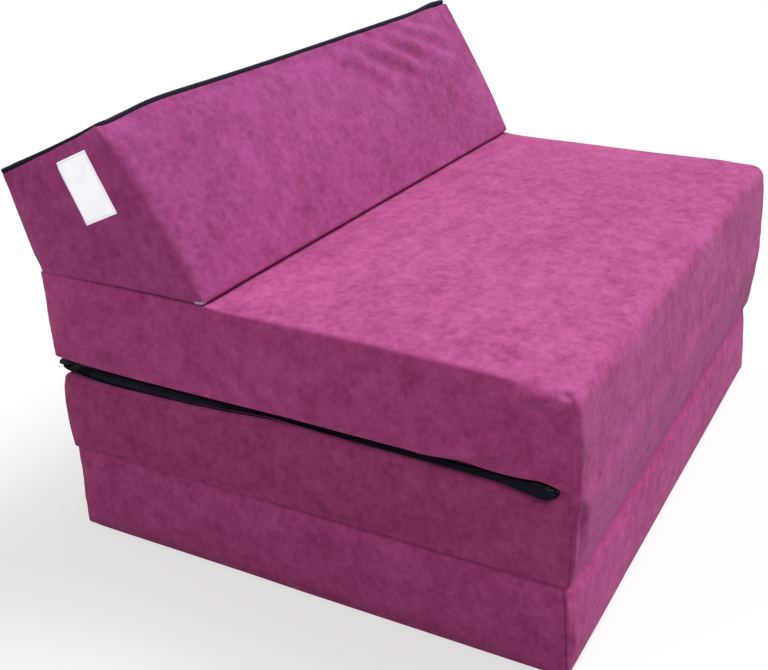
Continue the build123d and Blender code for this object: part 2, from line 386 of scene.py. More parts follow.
def sewn_block(name, panel):
    """Cover of one block, as its end panel and its edges' roundings shape it, with its seams noted."""
    corners = [Vector(corner) for corner in panel.corners]
    depth = ((corners[1] - corners[0]).length + (corners[2] - corners[3]).length) / 2
    height = ((corners[3] - corners[0]).length + (corners[2] - corners[1]).length) / 2
    lengths = np.array((2 * half_width, depth, height))
    rows = [row_places(length) for length in lengths]
    deselect()
    bpy.ops.mesh.primitive_cube_add(size=2)
    block = bpy.context.object
    block.name = block.data.name = name
    cut_cells(block, [len(places) - 1 for places in rows])
    shares = (points_of(block) + 1) / 2
    walked = np.zeros_like(shares)
    for axis, places in enumerate(rows):
        walked[:, axis] = places[np.rint(shares[:, axis] * (len(places) - 1)).astype(int)]
    away = np.minimum(walked, lengths - walked)
    along, up = walked[:, 1] / depth, walked[:, 2] / height
    reach = roundings_of(panel, away[:, 2], shares[:, 0], along, up, depth)[:, None]
    inner = panel_point(corners, np.clip(walked, reach, lengths - reach), lengths)
    outwards = panel_point(corners, walked, lengths) - inner
    points = inner + outwards / np.linalg.norm(outwards, axis=1)[:, None] * reach
    low, high = [front + (back - front) * along for front, back in panel.widths]
    points[:, 0] *= (low + (high - low) * up) / half_width
    front_share, back_share = np.clip(1 - 4 * along, 0, 1), np.clip(4 * along - 3, 0, 1)
    belly = 1 - (2 * up - 1) ** 2
    points[:, 1] += belly * (panel.bows[1] * back_share - panel.bows[0] * front_share)
    move_points(block, points)
    if panel.seam is None:
        seam = np.where(away[:, 2] < tiny, np.minimum(away[:, 0], away[:, 1]), walked[:, 2])
    else:
        behind = panel.seam[0] + (panel.seam[1] - panel.seam[0]) * up
        seam = np.hypot(away[:, 0], away[:, 1] - behind)
    note_values(block, "seam", seam)
    return block


def fill_block(block, held):
    """Press the cover out from inside as its foam does, holding where it lies on its neighbours."""
    outwards = normals_of(block)
    drawn = points_of(block) - outwards * (draw_in * (1 - held))[:, None]
    move_points(block, drawn)
    group = block.vertex_groups.new(name="held")
    for index in np.flatnonzero(held > 0):
        group.add([int(index)], float(held[index]), "REPLACE")
    choose(block)
    bpy.ops.object.modifier_add(type="CLOTH")
    cloth = block.modifiers[-1]
    cloth.settings.vertex_group_mass = "held"
    cloth.settings.use_pressure = True
    cloth.settings.uniform_pressure_force = cloth_pressure
    cloth.settings.effector_weights.gravity = 0
    for strain in ("tension", "compression", "shear"):
        setattr(cloth.settings, strain + "_stiffness", cloth_stiffness)
    cloth.settings.quality = 4
    cloth.point_cache.frame_end = inflate_steps
    for step in range(1, inflate_steps + 1):
        bpy.context.scene.frame_set(step)
    bpy.ops.object.modifier_apply(modifier=cloth.name)
    bpy.context.scene.frame_set(1)
    block.vertex_groups.clear()
    moved = points_of(block) - drawn
    most = np.where(np.sum(moved * outwards, axis=1) > 0, most_out, most_in)
    length = np.linalg.norm(moved, axis=1)
    move_points(block, drawn + moved * np.minimum(1, most / np.maximum(length, 1e-9))[:, None])


def crease(points, start, bend, end, width):
    """Share of a fold at each point: a ridge along a curved line with a shallow trough on both sides."""
    steps = np.linspace(0, 1, 33)[:, None]
    line = (1 - steps) ** 2 * np.array(start) + 2 * steps * (1 - steps) * np.array(bend) + steps**2 * np.array(end)
    reach = 4 * width
    near = np.flatnonzero(np.all((points > line.min(0) - reach) & (points < line.max(0) + reach), axis=1))
    shares = np.zeros(len(points))
    if len(near):
        gaps = np.linalg.norm(points[near][:, None] - line[None], axis=2)
        off = gaps.min(axis=1) / width
        taper = np.sin(np.pi * steps[gaps.argmin(axis=1), 0]) ** 0.7
        trough = fold_trough * np.exp(-(((off - trough_place) / trough_width) ** 2))
        shares[near] = taper * (np.exp(-(off**2)) - trough)
    return shares


def settle_cloth(block, free, seed, folds):
    """Add what sewing leaves in the cloth: the seam's groove, puckers along it, slow waves and folds."""
    choose(block)
    bpy.ops.object.modifier_add(type="SUBSURF")
    smooth = block.modifiers[-1]
    smooth.levels = smooth.render_levels = 1
    bpy.ops.object.modifier_apply(modifier=smooth.name)
    bpy.ops.object.shade_smooth()
    points = points_of(block)
    outwards = normals_of(block)
    seam = noted_values(block, "seam")
    loose = ridge_height * np.exp(-(((seam - ridge_place) / ridge_width) ** 2))
    loose += pucker_height * np.exp(-seam / pucker_reach) * wave(points, pucker_size, seed)
    loose += pull_height * np.exp(-seam / pull_reach) * wave(points, pull_size, seed + 1)
    loose += wave_height * wave(points, wave_size, seed + 2)
    height = loose * free(points) - groove_depth * np.exp(-((seam / groove_width) ** 2))
    for start, bend, end, width, rise in folds:
        height += rise * crease(points, start, bend, end, width)
    move_points(block, points + outwards * height[:, None])
    note_end(block)


def zip_face(origin, along, out):
    """Place of a zip's face: its first direction runs across the bed, its second towards the zip's closed side."""
    along = Vector(along).normalized()
    out = Vector(out).normalized()
    sides = Matrix((along.cross(out), along, out)).transposed()
    return Matrix.Translation(origin) @ sides.to_4x4()


def turned(matrix, points):
    """Points moved by a 4 by 4 matrix."""
    matrix = np.array(matrix)
    return points @ matrix[:3, :3].T + matrix[:3, 3]


def on_face(zipper, points):
    """Points as distances across, along and out from a zip's face."""
    return turned(zipper.face.inverted(), points)


def off_face(zipper, points):
    """Points given on a zip's face, back in the bed's own directions."""
    return turned(zipper.face, points)


def cut_rows(block, zipper):
    """Add rows of vertices to the cover where the zip's step and channel begin and end."""
    cuts = []
    for margin in (zip_lap, zip_lap + zip_window, zip_step):
        cuts += [(0, margin - zip_edge), (0, zip_edge - margin), (1, zipper.closed - margin)]
    cuts += [(1, zipper.mouth), (1, zipper.mouth + zip_lap)]
    choose(block)
    bpy.ops.object.mode_set(mode="EDIT")
    bpy.ops.mesh.select_mode(type="FACE")
    bpy.ops.mesh.select_all(action="DESELECT")
    mesh = bmesh.from_edit_mesh(block.data)
    inverse = zipper.face.inverted()
    for cloth_face in mesh.faces:
        place = inverse @ cloth_face.calc_center_median()
        by_edge = abs(place.x) > zip_edge - cut_reach or place.y > zipper.closed - cut_reach
        cloth_face.select_set(place.z > -cut_depth and by_edge)
    bmesh.update_edit_mesh(block.data)
    bpy.ops.mesh.hide(unselected=True)
    for axis, distance in cuts:
        for side in (distance - cut_gap, distance + cut_gap):
            local = Vector((0, 0, 0))
            local[axis] = side
            direction = zipper.face.col[axis].xyz
            bpy.ops.mesh.select_all(action="SELECT")
            bpy.ops.mesh.bisect(plane_co=zipper.face @ local, plane_no=direction, threshold=0.00002)
    bpy.ops.mesh.reveal(select=False)
    bpy.ops.object.mode_set(mode="OBJECT")


def turn_at(values, place, half=cut_gap):
    """0 before a place and 1 after it, with a short even turn."""
    return smooth_step(values, place - half, place + half)


def zip_drop(zipper, places, inward):
    """How far the cover lies below its zip's face: by its own amount at its edge, and evenly under the coils."""
    edge_drop = zipper.lip(places)
    return edge_drop + (zipper.recess - edge_drop) * smooth_step(inward, zip_lap, zip_lap + zipper.bank)


def open_zip(block, zipper):
    """Step the cover down along its zip and open the channel that shows the coils."""
    cut_rows(block, zipper)
    places = on_face(zipper, points_of(block))
    inward = np.minimum(zip_edge - np.abs(places[:, 0]), zipper.closed - places[:, 1])
    drop = zip_drop(zipper, places, inward) * (1 - turn_at(inward, zip_step))
    drop *= turn_at(places[:, 1], zipper.mouth) * smooth_step(places[:, 2], -face_depth, 0)
    slot = turn_at(inward, zip_lap, slot_turn) * (1 - turn_at(inward, zip_lap + zip_window, slot_turn))
    slot *= turn_at(places[:, 1], zipper.mouth + zip_lap) * (places[:, 2] > -channel_depth)
    places[:, 2] -= drop + zip_channel * slot
    move_points(block, off_face(zipper, places))


def base_lip_drop(places):
    """The cover's lower edge, dented at both back corners, where the pull's tip comes to lie."""
    gaps = np.hypot(np.abs(places[:, 0]) - zip_edge + 0.009, places[:, 1] - block_back + 0.004)
    return base_lip + base_dent * np.exp(-((gaps / dent_reach) ** 2))


base_panel = Panel(
    corners=[
        (base_toe, 0), (block_back + base_heel, 0), (block_back, block_height), (base_front, block_height)
    ],
    bows=(0.001, 0),
    widths=((0.351, 0.3515), (0.35, 0.3485)),
    low=(0.004, 0.004, 0.005),
    high=(0.006, 0.005, 0.003),
    upright=(0.006, 0.006, 0.005),
    seam=(0.001, 0.001),
)
base_face = zip_face((0, 0, 0), (0, 1, 0), (0, 0, -1))
base_mouth = base_front + zip_mouth_margin
base_zip = Zip("base", base_face, block_back - fold_lean, base_mouth, base_recess, base_lip_drop, zip_bank)


def between(low, high):
    """Function that is 1 well between two heights and falls to 0 where the cloth lies on something at either."""
    return lambda points: (
        smooth_step(points[:, 2], low, low + lying_edge) * smooth_step(-points[:, 2], -high, -high + lying_edge)
    )


def lying(block, low, high):
    """1 where the cover lies flat at either of two heights, and 0 elsewhere."""
    heights = points_of(block)[:, 2]
    return ((heights < low + tiny) | (heights > high - tiny)).astype(float)


def fit_cover(cushion, segment, face_painted_light, end_painted_light):
    """Dye a finished cover with painted light and shade on its faces and ends, and let it stand for its block's cover
    and foam.
    """
    coat(cushion, suede(segment + "_suede", face_painted_light, end_painted_light))
    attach(cushion, segment)
    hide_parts(segment + "_cover", segment + "_foam")


base_folds = [
    ((-0.352, -0.306, 0.106), (-0.34, -0.308, 0.075), (-0.338, -0.307, 0.03), 0.008, 0.0018),
    ((0.1, -0.305, 0.1), (0.13, -0.306, 0.06), (0.12, -0.305, 0.02), 0.012, 0.0012),
    ((-0.352, 0.2, 0.07), (-0.353, 0.1, 0.055), (-0.353, -0.02, 0.06), 0.016, 0.0012),
    ((0.352, -0.25, 0.07), (0.353, -0.1, 0.05), (0.353, 0.05, 0.06), 0.016, 0.0012),
]
base_cushion = sewn_block("base_cushion", base_panel)
fill_block(base_cushion, lying(base_cushion, 0, block_height))
settle_cloth(base_cushion, between(0, block_height), 3.1, base_folds)
open_zip(base_cushion, base_zip)
# The face tone and end tone paint light and shade into this cover's colour.
fit_cover(base_cushion, "base", (1.06, 0.9, 1.04), (1.12, 0.94, 1.03))


# The middle block folds back over the base. It is sewn as the base is, and its zip lies in a deeper step
# along the upper edge, so that a dark gap shows under the seat. The cloth sags open at the zip's front end.

middle_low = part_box("middle_cover")[0].z
middle_high = middle_low + block_height
fold_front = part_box("middle_cover")[0].y
middle_recess = 0.008
sag_places = (-0.293, -0.287, -0.279, -0.27, -0.255, -0.235, -0.21, -0.14, -0.08, -0.03, 0.03, 0.08, 0.14, 0.22, 0.3)
sag_drops = (
    0.004, 0.013, 0.019, 0.0195, 0.0165, 0.013, 0.0115, 0.0097, 0.0092, 0.0078, 0.0058, 0.0098, 0.0128, 0.0145, 0.014
)


def middle_lip_drop(places):
    """The cover's upper edge: sagging by its own curve on the left, and even on the right."""
    even = middle_recess * 0.8
    sagging = np.interp(places[:, 1], sag_places, sag_drops)
    return even + (sagging - even) * smooth_step(-places[:, 0], -0.1, 0.3)


middle_panel = Panel(
    corners=[
        (-block_back, middle_low),
        (block_back, middle_low),
        (block_back - 0.001, middle_high),
        (fold_front, middle_high),
    ],
    bows=(0.002, 0.005),
    widths=((0.351, 0.352), (0.35, 0.347)),
    low=(0.005, 0.005, 0.003),
    high=(0.0015, 0.004, 0.005),
    upright=(0.008, 0.005, 0.005),
    seam=(0.001, 0.01),
)
middle_face = zip_face((0, 0, middle_high), (0, 1, 0), (0, 0, 1))
fold_mouth = fold_front + zip_mouth_margin
middle_zip = Zip(
    "middle", middle_face, block_back - fold_lean, fold_mouth, middle_recess, middle_lip_drop, zip_slack_bank
)

middle_folds = [
    ((-0.353, -0.3, 0.195), (-0.352, -0.312, 0.165), (-0.345, -0.31, 0.125), 0.008, 0.0015),
    ((-0.342, -0.31, 0.2), (-0.343, -0.31, 0.17), (-0.341, -0.308, 0.14), 0.007, -0.0012),
    ((0.005, -0.309, 0.12), (0.04, -0.311, 0.145), (0.078, -0.311, 0.175), 0.008, 0.0016),
    ((0.062, -0.309, 0.116), (0.1, -0.31, 0.135), (0.126, -0.311, 0.16), 0.007, 0.0013),
    ((-0.352, -0.2, 0.16), (-0.353, -0.05, 0.14), (-0.352, 0.12, 0.155), 0.018, 0.0013),
    ((0.352, -0.18, 0.16), (0.353, 0.0, 0.14), (0.352, 0.15, 0.165), 0.018, 0.0013),
]
middle_cushion = sewn_block("middle_cushion", middle_panel)
fill_block(middle_cushion, lying(middle_cushion, middle_low, middle_high))
settle_cloth(middle_cushion, between(middle_low, middle_high), 7.7, middle_folds)
open_zip(middle_cushion, middle_zip)
# The face tone and end tone paint light and shade into this cover's colour.
fit_cover(middle_cushion, "middle", (0.99, 0.84, 0.98), (0.95, 0.77, 0.83))


# The seat block is the same cover again, softer along its upper edges. It is flat under the backrest's foot
# and crowned in front of it, and its end panels are pulled into folds by the seam at each front corner.

seat_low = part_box("seat_cover")[0].z
seat_high = seat_low + block_height
seat_recess = 0.002
seat_front = -0.309
seat_crown_drop = 0.007
seat_crown_bow = 0.003
seat_rim = 0.0016
seat_fuller = 0.0035
foot_depth = 0.223
foot_front = block_back - foot_depth
lift_places = (-0.293, -0.285, -0.273, -0.255, -0.22, -0.17, -0.06, 0, 0.2, 0.27, 0.29, 0.305)
lift_drops = (0.0005, 0.003, 0.0045, 0.0025, 0.0007, 0.0005, 0.002, 0.003, 0.0037, 0.0057, 0.0075, 0.0085)


def seat_lip_drop(places):
    """The cover's lower edge, which lifts a little on the left, most of all at the back corner."""
    lifting = np.interp(places[:, 1], lift_places, lift_drops)
    return seat_recess + (lifting - seat_recess) * smooth_step(places[:, 0], -0.1, 0.3)


seat_panel = Panel(
    corners=[(fold_front, seat_low), (block_back, seat_low), (block_back, seat_high), (seat_front, seat_high)],
    bows=(0.003, 0.002),
    widths=((0.35, 0.354), (0.351, 0.3505)),
    low=(0.0015, 0.004, 0.003),
    high=(0.016, 0.007, 0.003),
    upright=(0.01, 0.006, 0.005),
    seam=(0.01, 0.012),
)
seat_face = zip_face((0, 0, seat_low), (0, 1, 0), (0, 0, -1))
seat_zip = Zip("seat", seat_face, block_back, fold_mouth, seat_recess, seat_lip_drop, zip_slack_bank)


def seat_free(points):
    """The seat's top is free in front of the backrest's foot."""
    covered = smooth_step(points[:, 1], foot_front - 0.03, foot_front)
    above = smooth_step(-points[:, 2], -seat_high, -seat_high + lying_edge)
    return smooth_step(points[:, 2], seat_low, seat_low + lying_edge) * (1 - covered * (1 - above))


def crown_seat(block):
    """Arch the seat's top down to its front edge, swell its rim beside the backrest and fill its right end out."""
    points = points_of(block)
    forward = np.clip((foot_front - points[:, 1]) / (foot_front + block_back), 0, 1)
    drop = seat_crown_drop * forward - seat_crown_bow * 4 * forward * (1 - forward)
    lean = 0.5 - 0.5 * points[:, 0] / half_width
    points[:, 2] -= lean * drop * (points[:, 2] - seat_low) / block_height
    rim = smooth_step(np.abs(points[:, 0]), half_width - 0.012, half_width - 0.005)
    rim *= smooth_step(points[:, 1], foot_front - 0.008, foot_front + 0.004)
    points[:, 2] += seat_rim * rim * smooth_step(points[:, 2], seat_high - 0.04, seat_high)
    right = smooth_step(points[:, 0], 0.2, half_width) * smooth_step(-points[:, 1], -0.05, 0.3)
    points[:, 0] += seat_fuller * right
    move_points(block, points)


seat_folds = [
    ((-0.351, -0.21, 0.277), (-0.352, -0.266, 0.287), (-0.35, -0.304, 0.295), 0.009, -0.003),
    ((-0.351, -0.2, 0.29), (-0.352, -0.26, 0.3035), (-0.35, -0.296, 0.309), 0.009, 0.005),
    ((-0.352, -0.14, 0.222), (-0.353, -0.214, 0.2375), (-0.353, -0.275, 0.2515), 0.009, 0.0062),
    ((-0.352, -0.185, 0.2215), (-0.353, -0.249, 0.2295), (-0.351, -0.299, 0.2465), 0.009, -0.0024),
    ((-0.352, -0.245, 0.252), (-0.353, -0.253, 0.272), (-0.351, -0.262, 0.286), 0.008, 0.0012),
    ((-0.3505, -0.301, 0.312), (-0.3515, -0.3015, 0.295), (-0.351, -0.301, 0.262), 0.005, -0.003),
    ((-0.352, -0.289, 0.318), (-0.349, -0.296, 0.315), (-0.346, -0.304, 0.312), 0.0045, -0.0045),
    ((0.351, -0.292, 0.316), (0.349, -0.298, 0.306), (0.348, -0.305, 0.296), 0.006, -0.0025),
    ((0.351, -0.2, 0.27), (0.352, -0.25, 0.284), (0.35, -0.299, 0.29), 0.008, -0.0018),
    ((-0.099, -0.307, 0.305), (-0.103, -0.309, 0.288), (-0.111, -0.31, 0.262), 0.008, 0.0013),
    ((0.04, -0.311, 0.262), (0.03, -0.311, 0.24), (0.045, -0.312, 0.222), 0.009, 0.0013),
    ((0.015, -0.2, 0.32), (0.018, -0.246, 0.32), (0.008, -0.285, 0.318), 0.006, 0.0012),
    ((-0.091, -0.16, 0.321), (-0.104, -0.195, 0.32), (-0.111, -0.225, 0.32), 0.006, 0.0011),
    ((0.012, -0.17, 0.321), (0.027, -0.198, 0.32), (0.062, -0.24, 0.319), 0.007, 0.001),
    ((-0.352, 0.2, 0.29), (-0.353, 0.05, 0.268), (-0.353, -0.1, 0.278), 0.02, 0.0013),
]
seat_cushion = sewn_block("seat_cushion", seat_panel)
crown_seat(seat_cushion)
seat_held = lying(seat_cushion, seat_low, seat_high)
seat_places = points_of(seat_cushion)
seat_held[(seat_places[:, 1] < foot_front - 0.012) & (seat_places[:, 2] > seat_low + 0.01)] = 0
fill_block(seat_cushion, seat_held)
settle_cloth(seat_cushion, seat_free, 12.9, seat_folds)
open_zip(seat_cushion, seat_zip)
# The face tone and end tone paint light and shade into this cover's colour.
fit_cover(seat_cushion, "seat", (1, 1.02, 1.01), (1.12, 0.92, 1))


# The backrest is a wedge of foam in a cover of its own. Its zip runs round three sides of the sloping face at
# the top and back, and pulls the corners down a little and the front into short folds.

backrest_slope = math.radians(29.2)
backrest_zip_depth = 0.168
backrest_recess = 0.005
backrest_mouth_margin = 0.014
backrest_lip = 0.0012
backrest_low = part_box("backrest_cover")[0].z
edge_sag = 0.0068
corner_sag = 0.0092
corner_reach = 0.052
foot_edge = 0.01
seat_thickness = backrest_low - seat_low

up_front = Vector((0, math.sin(backrest_slope), math.cos(backrest_slope)))
down_back = Vector((0, math.cos(backrest_slope), -math.sin(backrest_slope)))
backrest_foot = Vector((0, foot_front, backrest_low))
backrest_peak = backrest_foot + up_front * (seat_thickness + foot_depth * math.sin(backrest_slope))
backrest_top = backrest_peak + down_back * backrest_zip_depth


def backrest_lip_drop(places):
    return np.full(len(places), backrest_lip)


backrest_panel = Panel(
    corners=[backrest_foot.yz, (block_back, backrest_low), backrest_top.yz, backrest_peak.yz],
    bows=(0.005, 0.002),
    widths=((0.352, 0.3515), (0.353, 0.3485)),
    low=(0.005, 0.007, 0.007),
    high=(0.003, 0.003, 0.003),
    upright=(0.014, 0.004, 0.006),
    seam=None,
)
backrest_face = zip_face((backrest_peak + backrest_top) / 2, -down_back, up_front)
zip_half = backrest_zip_depth / 2
backrest_mouth = backrest_mouth_margin - zip_half
backrest_zip = Zip("backrest", backrest_face, zip_half, backrest_mouth, backrest_recess, backrest_lip_drop, zip_bank)


def backrest_free(points):
    """The wedge lies on its foot alone."""
    return smooth_step(points[:, 2], backrest_low, backrest_low + foot_edge)


def droop(points):
    """Let the wedge's upper front edge sag towards its left end, where its corner hangs lowest."""
    places = on_face(backrest_zip, points)
    sag = edge_sag * smooth_step(-points[:, 0], -half_width, 0.2)
    sag += corner_sag * np.exp(-(((points[:, 0] + half_width) / corner_reach) ** 2))
    forward = np.clip(0.5 + places[:, 1] / backrest_zip_depth, 0, 1)
    raised = np.clip((points[:, 2] - backrest_low) / (backrest_peak.z - backrest_low), 0, 1)
    points = points.copy()
    points[:, 2] -= sag * forward * (2 - forward) * raised
    return points


backrest_folds = [
    ((0.036, 0.177, 0.502), (0.079, 0.163, 0.477), (0.125, 0.142, 0.44), 0.0105, 0.0036),
    ((0.1, 0.177, 0.502), (0.144, 0.161, 0.473), (0.225, 0.136, 0.43), 0.0105, 0.0042),
    ((0.15, 0.177, 0.502), (0.208, 0.163, 0.478), (0.28, 0.142, 0.441), 0.0095, 0.0036),
    ((0.196, 0.178, 0.504), (0.258, 0.167, 0.484), (0.325, 0.152, 0.459), 0.0095, 0.003),
    ((0.187, 0.147, 0.45), (0.191, 0.138, 0.433), (0.186, 0.126, 0.41), 0.009, 0.0018),
    ((-0.195, 0.166, 0.486), (-0.204, 0.156, 0.467), (-0.205, 0.149, 0.455), 0.008, 0.0013),
    ((-0.1, 0.183, 0.513), (-0.08, 0.172, 0.494), (-0.07, 0.16, 0.472), 0.008, 0.0015),
    ((0.25, 0.33, 0.42), (0.2, 0.322, 0.395), (0.16, 0.318, 0.38), 0.012, 0.0016),
    ((-0.28, 0.33, 0.42), (-0.23, 0.322, 0.398), (-0.2, 0.318, 0.38), 0.012, 0.0016),
    ((0.2, 0.25, 0.481), (0.05, 0.262, 0.476), (-0.15, 0.25, 0.481), 0.02, 0.0014),
]
backrest_cushion = sewn_block("backrest_cushion", backrest_panel)
fill_block(backrest_cushion, lying(backrest_cushion, backrest_low, 1))
settle_cloth(backrest_cushion, backrest_free, 17.3, backrest_folds)
open_zip(backrest_cushion, backrest_zip)
move_points(backrest_cushion, droop(points_of(backrest_cushion)))
# The face tone and end tone paint light and shade into this cover's colour.
fit_cover(backrest_cushion, "backrest", (0.84, 0.84, 0.95), (1, 0.86, 0.97))


# The zips' tapes are black woven polyester, two to a zip, each with its edge sewn under the cover's lap.
# On the backrest the outer tape stands up over the cover's edge and shows as a dark line along its top.

tape_thickness = 0.0008
tape_lap = 0.003
tape_depth = 0.0012
coil_gap = 0.0012
corner_turn = 0.015
turn_steps = 10
zip_centre = zip_lap + zip_window / 2
zip_tail = 0.011
tape_stations = 260
tape_rises = {"middle": 0.0135, "seat": 0.0105}
tape_push = 0.0085
tape_lean = 0.0055
tape_cover = 0.0006
buckle_reach = 0.032
pull_room = 0.016
crest_width = 0.003
crest_turn = 0.005
crest_out = 0.003
crest_up = 0.0008
crest_peak = 0.0046
peak_place = 0.03
peak_reach = 0.042
zippers = [base_zip, middle_zip, seat_zip, backrest_zip]


def edge_line(zipper, inward, spacing, mouth=0.0, corner=corner_turn):
    """Places and directions along a line round three sides of a zip's face. A spacing of 1 or more is a count."""
    end = zip_edge - inward
    far = zipper.closed - inward
    turn = max(corner - inward, 0.0005)
    near = zipper.mouth + mouth
    angles = np.linspace(math.pi, math.pi / 2, turn_steps + 1)
    arc = turn * np.column_stack([np.cos(angles), np.sin(angles)]) + (turn - end, far - turn)
    corners = np.vstack([(-end, near), arc, arc[::-1] * (-1, 1), (end, near)])
    steps = np.linalg.norm(np.diff(corners, axis=0), axis=1)
    walked = np.concatenate([[0], np.cumsum(steps)])
    count = max(2, round(walked[-1] / spacing)) if spacing < 1 else int(spacing)
    stations = np.linspace(0, walked[-1], count + 1)
    places = np.stack([np.interp(stations, walked, corners[:, axis]) for axis in range(2)], axis=1)
    ways = np.gradient(places, axis=0)
    ways /= np.linalg.norm(ways, axis=1)[:, None]
    return places, ways


def cloth_strip(name, rows, thickness, above):
    """Strip of cloth through rows of points, with a wall of its own thickness and its weave laid along it."""
    across, along = len(rows), len(rows[0])
    deselect()
    bpy.ops.mesh.primitive_grid_add(x_subdivisions=along - 1, y_subdivisions=across - 1, size=2)
    strip = bpy.context.object
    strip.name = strip.data.name = name
    shares = (points_of(strip) + 1) / 2
    column = np.rint(shares[:, 0] * (along - 1)).astype(int)
    row = np.rint(shares[:, 1] * (across - 1)).astype(int)
    move_points(strip, np.array(rows)[row, column])
    length = np.linalg.norm(np.diff(rows[0], axis=0), axis=1).sum()
    width = np.linalg.norm(np.diff(np.array(rows)[:, 0], axis=0), axis=1).sum()
    for corner in strip.data.uv_layers[0].data:
        corner.uv = (corner.uv.x * length, corner.uv.y * width)
    bpy.ops.object.modifier_add(type="SOLIDIFY")
    wall = strip.modifiers[-1]
    wall.thickness = thickness
    wall.offset = 1 if above else -1
    bpy.ops.object.modifier_apply(modifier=wall.name)
    edit_all()
    bpy.ops.mesh.normals_make_consistent(inside=False)
    bpy.ops.object.mode_set(mode="OBJECT")
    bpy.ops.object.shade_smooth_by_angle(angle=math.radians(40))
    return strip


def join_pieces(name, pieces):
    """One piece from several."""
    choose(pieces[0])
    for piece in pieces[1:]:
        piece.select_set(True)
    bpy.ops.object.join()
    pieces[0].name = pieces[0].data.name = name
    return pieces[0]


def woven_black(name):
    """Tape woven in a fine herringbone."""
    tape = Finish(name, IOR=1.45, Specular_IOR_Level=0.2)
    run, side = tape.lengths()
    zigzag = side.worked("PINGPONG", side * 450, 0.5)
    weave = (run * 1900 + zigzag * 4).sine() * 0.6 + (side * 5200).sine() * 0.4
    grime = tape.cloud(tape.places(), 90, 3)
    colour = tape.ramp(weave * 0.18 + grime * 0.6 + 0.1, [(0.2, dye(10, 10, 22)), (0.75, dye(32, 33, 58))])
    return tape.finish(Base_Color=colour, Roughness=grime * 0.2 + 0.62, Normal=tape.bump(weave, 0.35, 0.0003))


def corner_share(zipper, places):
    """1 at the left back corner of a zip's face, falling to 0 along both of its sides."""
    corner = zipper.face.inverted() @ Vector((-zip_edge, block_back, zipper.face.translation.z))
    gaps = np.hypot(places[:, 0] - corner.x, places[:, 1] - corner.y)
    return np.exp(-((gaps / buckle_reach) ** 2))


def buckled(zipper, places, inward):
    """Places and heights of the outer tape where it follows the cover's edge and buckles out at one back corner."""
    heights = -tape_depth - zip_drop(zipper, places, inward)
    if zipper.name in tape_rises:
        share = min(1, (zip_centre - coil_gap / 2 - inward) / (zip_centre - zip_lap))
        pushed = share * corner_share(zipper, places)
        heights += tape_rises[zipper.name] * pushed
        outwards = np.column_stack([np.sign(places[:, 0]) * tape_push, np.full(len(places), tape_lean)])
        places = places + pushed[:, None] * outwards
    heights = np.minimum(heights, -tape_cover)
    if zipper is middle_zip:
        by_pull = (np.abs(places[:, 0]) < zip_edge - zip_lap) & (places[:, 1] > block_back - pull_room)
        heights[by_pull] = np.minimum(heights[by_pull], -zipper.recess - tape_depth)
    return places, heights


def crested(places, inward, height):
    """Places and heights of the backrest's outer tape, whose crest stands further out and up along the ends."""
    if inward < crest_width:
        ends = smooth_step(np.abs(places[:, 0]), zip_edge - 0.02, zip_edge - 0.006)
        peak = np.hypot(places[:, 0] + zip_edge - peak_place, places[:, 1] - backrest_zip.closed)
        places = places + crest_out * np.column_stack([np.sign(places[:, 0]) * ends, np.zeros(len(places))])
        height = height + crest_up * ends + crest_peak * np.exp(-((peak / peak_reach) ** 2))
    return places, height


def tape_rows(zipper, inner):
    """Rows of points of one tape, from its outer edge. The backrest's outer tape climbs over the cover's edge."""
    top = -zipper.recess - tape_depth
    crest = zipper is backrest_zip and not inner
    if inner:
        profile = [(zip_centre + coil_gap / 2, top), (zip_lap + zip_window + tape_lap, top)]
    elif crest:
        profile = [(0.0014, -0.0042), (0.0005, -0.0026), (0.0005, -0.0012), (0.0013, -0.0002), (0.0024, -0.0004)]
        profile += [(0.0034, -0.0022), (0.0045, top + 0.0004), (zip_centre - coil_gap / 2, top)]
    else:
        profile = [(zip_lap + shift, None) for shift in (-tape_lap, 0, 0.001, 0.002, 0.003)]
        profile += [(zip_centre - coil_gap / 2, top)]
    rows = []
    for inward, height in profile:
        corner = crest_turn if crest and inward < crest_width else corner_turn
        places, ways = edge_line(zipper, inward, tape_stations, -zip_tail if crest else 0, corner)
        if height is None:
            places, height = buckled(zipper, places, inward)
        elif crest:
            places, height = crested(places, inward, height)
        rows.append(off_face(zipper, np.column_stack([places, np.zeros(len(places)) + height])))
    return rows


def fit_trim(piece, zipper, material):
    """Let a part of a zip hang as its cover does, and fix it to its block."""
    if zipper is backrest_zip:
        move_points(piece, droop(points_of(piece)))
    coat(piece, material)
    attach(piece, zipper.name)


tape_finish = woven_black("zip_tape_weave")
for zipper in zippers:
    parts = [cloth_strip("tape", tape_rows(zipper, inner), tape_thickness, False) for inner in (False, True)]
    tapes = join_pieces(zipper.name + "_tapes", parts)
    fit_trim(tapes, zipper, tape_finish)
    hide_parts(zipper.name + "_zip_tapes")


# The coils are nylon wire wound in turns, one row on each tape, whose heads reach between each other.

coil_wire = 0.0006
coil_pitch = 0.0019
coil_width = 0.0022
coil_height = 0.002
stop_length = 0.003


def coil_turn():
    """Half a turn of wire, from one foot on the tape over to the other, around the origin."""
    deselect()
    reach = coil_width / 2 + 0.0004
    bpy.ops.mesh.primitive_circle_add(
        vertices=4, radius=coil_wire / 2, fill_type="NGON", location=(reach, 0, 0), rotation=(0, 0, math.pi / 4)
    )
    turn = bpy.context.object
    bpy.ops.object.transform_apply(location=True, rotation=True, scale=True)
    edit_all()
    bpy.ops.mesh.spin(steps=6, angle=math.pi, center=(0, 0, 0), axis=(0, -1, 0))
    bpy.ops.mesh.select_all(action="SELECT")
    bpy.ops.mesh.remove_doubles(threshold=0.000001)
    bpy.ops.mesh.normals_make_consistent(inside=False)
    bpy.ops.object.mode_set(mode="OBJECT")
    places = points_of(turn)
    places[:, 2] *= (coil_height - coil_wire / 2) / reach
    places[:, 1] += 0.25 * coil_pitch * places[:, 0] / reach
    move_points(turn, places)
    return turn


